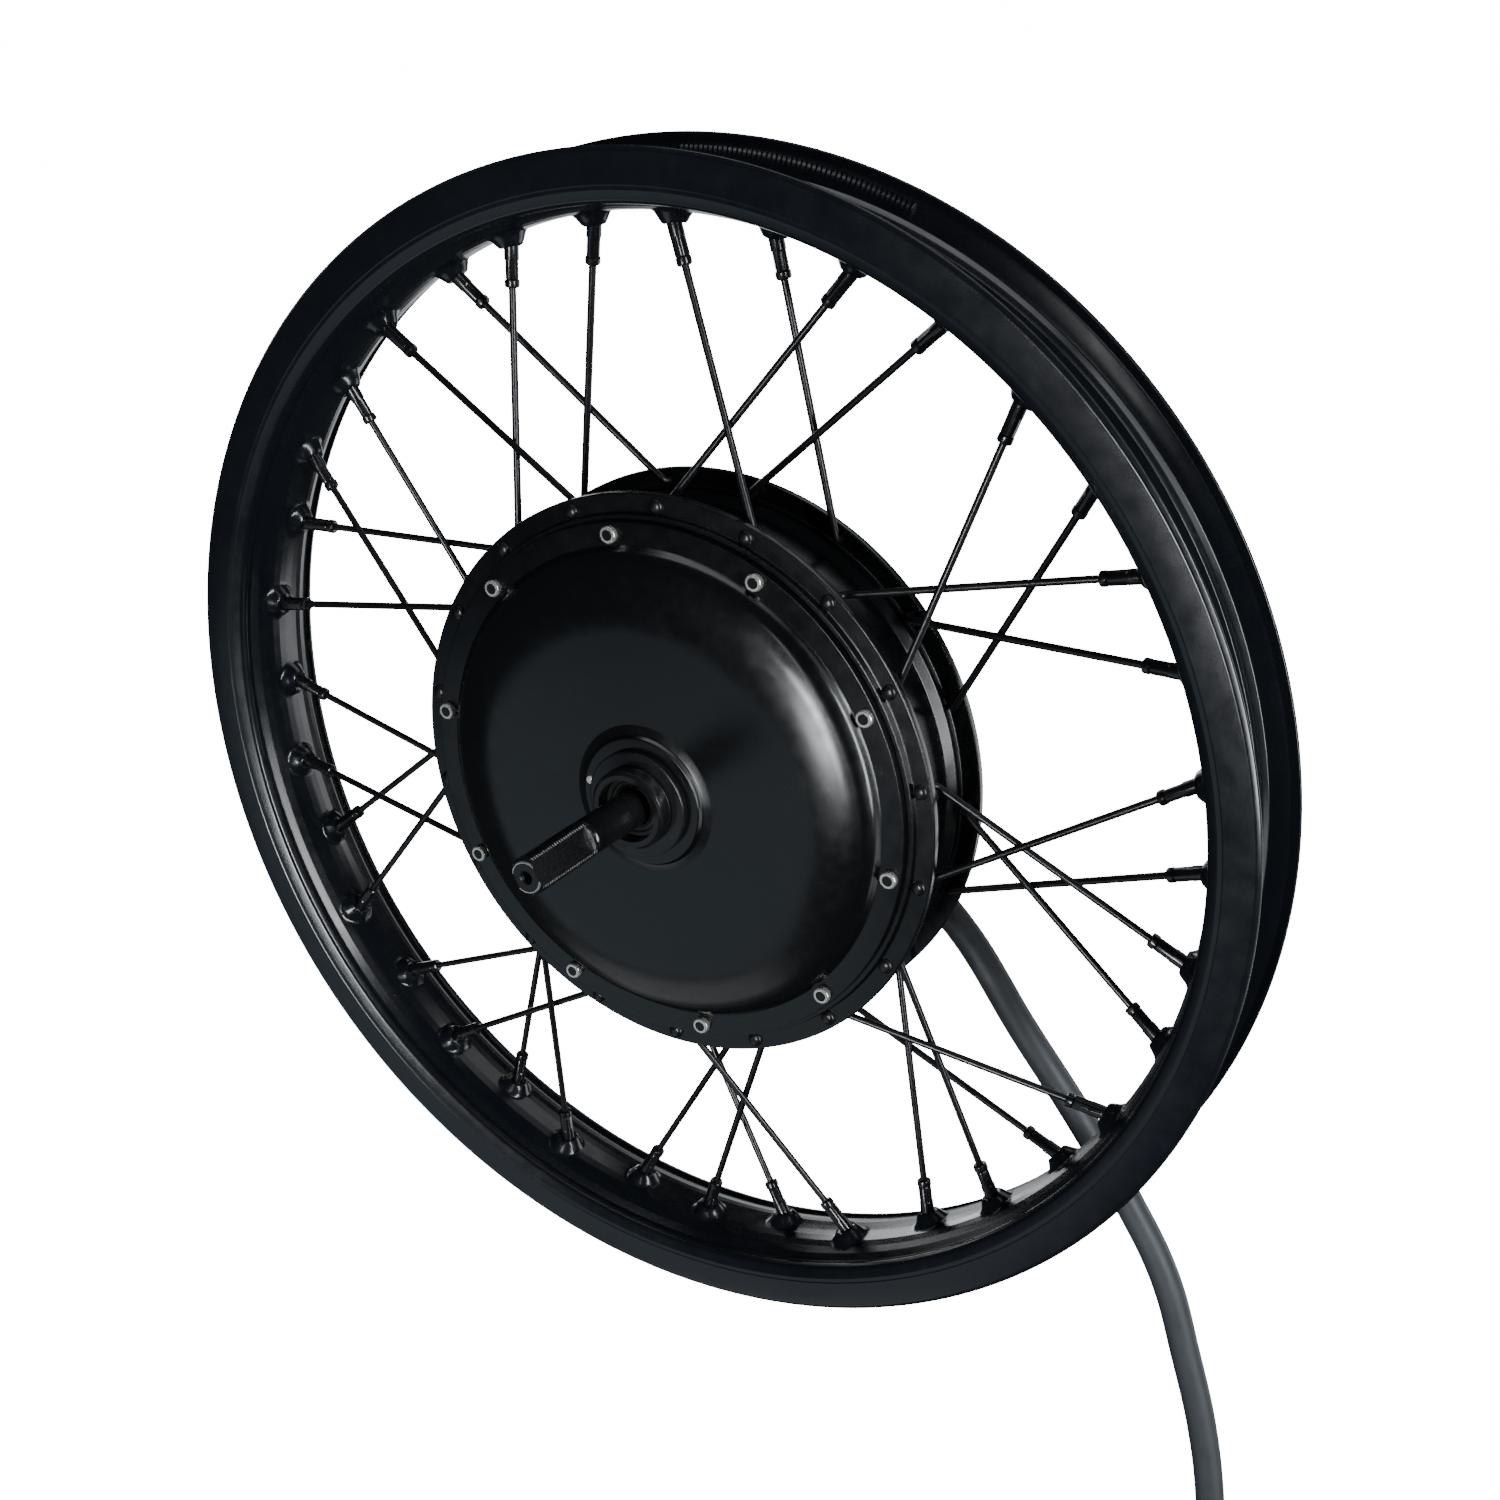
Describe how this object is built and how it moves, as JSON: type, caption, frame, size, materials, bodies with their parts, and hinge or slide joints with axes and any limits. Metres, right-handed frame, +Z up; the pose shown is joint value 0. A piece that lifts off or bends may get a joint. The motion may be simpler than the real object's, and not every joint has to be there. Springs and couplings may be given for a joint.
{
  "type": "hub motor wheel",
  "caption": "Spoked rear wheel with a gearless hub motor, screwed-on covers, freewheel thread, fixed axle with flats, and a cable that leaves the axle.",
  "frame": {"origin": "centre of the wheel, on the axle's axis, midway between the rim's two sides", "axes": "+Y along the axle towards the brake and cable side, -Y towards the drive side, +Z up, wheel turns about +Y"},
  "size_m": [0.5251, 0.248, 0.9915],
  "materials": {
    "rim_black": "satin-gloss black aluminium",
    "shell_black": "satin black cast aluminium",
    "cover_black": "fine-grained satin black cast aluminium",
    "steel_black": "blackened machined steel",
    "spoke_black": "black steel wire",
    "bearing_steel": "ground steel",
    "cage_steel": "pressed steel",
    "carrier_aluminium": "cast aluminium",
    "silicon_steel": "stacked laminations",
    "enamelled_copper": "enamelled copper wire",
    "nickel_magnet": "nickel-plated magnets in a steel ring",
    "board_green": "glass-fibre circuit board",
    "cable_rubber": "matte black rubber",
    "lead_yellow": "yellow silicone insulation",
    "lead_green": "green silicone insulation",
    "lead_blue": "blue silicone insulation",
    "plug_plastic": "black nylon"
  },
  "bodies": {
    "stator_axle": {"axle": "steel_black", "stator_carrier": "carrier_aluminium", "stator_core": "silicon_steel", "windings": "enamelled_copper", "hall_sensor_board": "board_green", "drive_bearing_inner_race": "bearing_steel", "brake_bearing_inner_race": "bearing_steel", "cable_strain_relief": "cable_rubber", "motor_cable": "cable_rubber", "cable_breakout": "cable_rubber", "phase_lead_yellow": "lead_yellow", "phase_lead_green": "lead_green", "phase_lead_blue": "lead_blue", "sensor_lead": "plug_plastic"},
    "wheel": {"rim": "rim_black", "brake_spoke_01": "spoke_black", "brake_spoke_02": "spoke_black", "brake_spoke_03": "spoke_black", "brake_spoke_04": "spoke_black", "brake_spoke_05": "spoke_black", "brake_spoke_06": "spoke_black", "brake_spoke_07": "spoke_black", "brake_spoke_08": "spoke_black", "brake_spoke_09": "spoke_black", "brake_spoke_10": "spoke_black", "brake_spoke_11": "spoke_black", "brake_spoke_12": "spoke_black", "brake_spoke_13": "spoke_black", "brake_spoke_14": "spoke_black", "brake_spoke_15": "spoke_black", "brake_spoke_16": "spoke_black", "brake_spoke_17": "spoke_black", "brake_spoke_18": "spoke_black", "drive_spoke_01": "spoke_black", "drive_spoke_02": "spoke_black", "drive_spoke_03": "spoke_black", "drive_spoke_04": "spoke_black", "drive_spoke_05": "spoke_black", "drive_spoke_06": "spoke_black", "drive_spoke_07": "spoke_black", "drive_spoke_08": "spoke_black", "drive_spoke_09": "spoke_black", "drive_spoke_10": "spoke_black", "drive_spoke_11": "spoke_black", "drive_spoke_12": "spoke_black", "drive_spoke_13": "spoke_black", "drive_spoke_14": "spoke_black", "drive_spoke_15": "spoke_black", "drive_spoke_16": "spoke_black", "drive_spoke_17": "spoke_black", "drive_spoke_18": "spoke_black", "hub_shell": "shell_black", "drive_cover": "cover_black", "brake_cover": "cover_black", "freewheel_adapter": "steel_black", "rotor_magnet_ring": "nickel_magnet", "drive_bearing_outer_race": "bearing_steel", "brake_bearing_outer_race": "bearing_steel"},
    "drive_cage": {"drive_bearing_cage": "cage_steel"},
    "brake_cage": {"brake_bearing_cage": "cage_steel"}
  },
  "joints": [
    {"name": "wheel_spin", "type": "hinge", "parent": "stator_axle", "child": "wheel", "pos_m": [0, 0, 0], "axis": [0, 1, 0], "continuous": true},
    {"name": "drive_cage_spin", "type": "hinge", "parent": "stator_axle", "child": "drive_cage", "pos_m": [0, -0.0313, 0], "axis": [0, 1, 0], "continuous": true},
    {"name": "brake_cage_spin", "type": "hinge", "parent": "stator_axle", "child": "brake_cage", "pos_m": [0, 0.0317, 0], "axis": [0, 1, 0], "continuous": true}
  ],
  "couplings": [
    {"joint": "drive_cage_spin", "follows": "wheel_spin", "ratio": 0.6005},
    {"joint": "brake_cage_spin", "follows": "wheel_spin", "ratio": 0.6013}
  ]
}
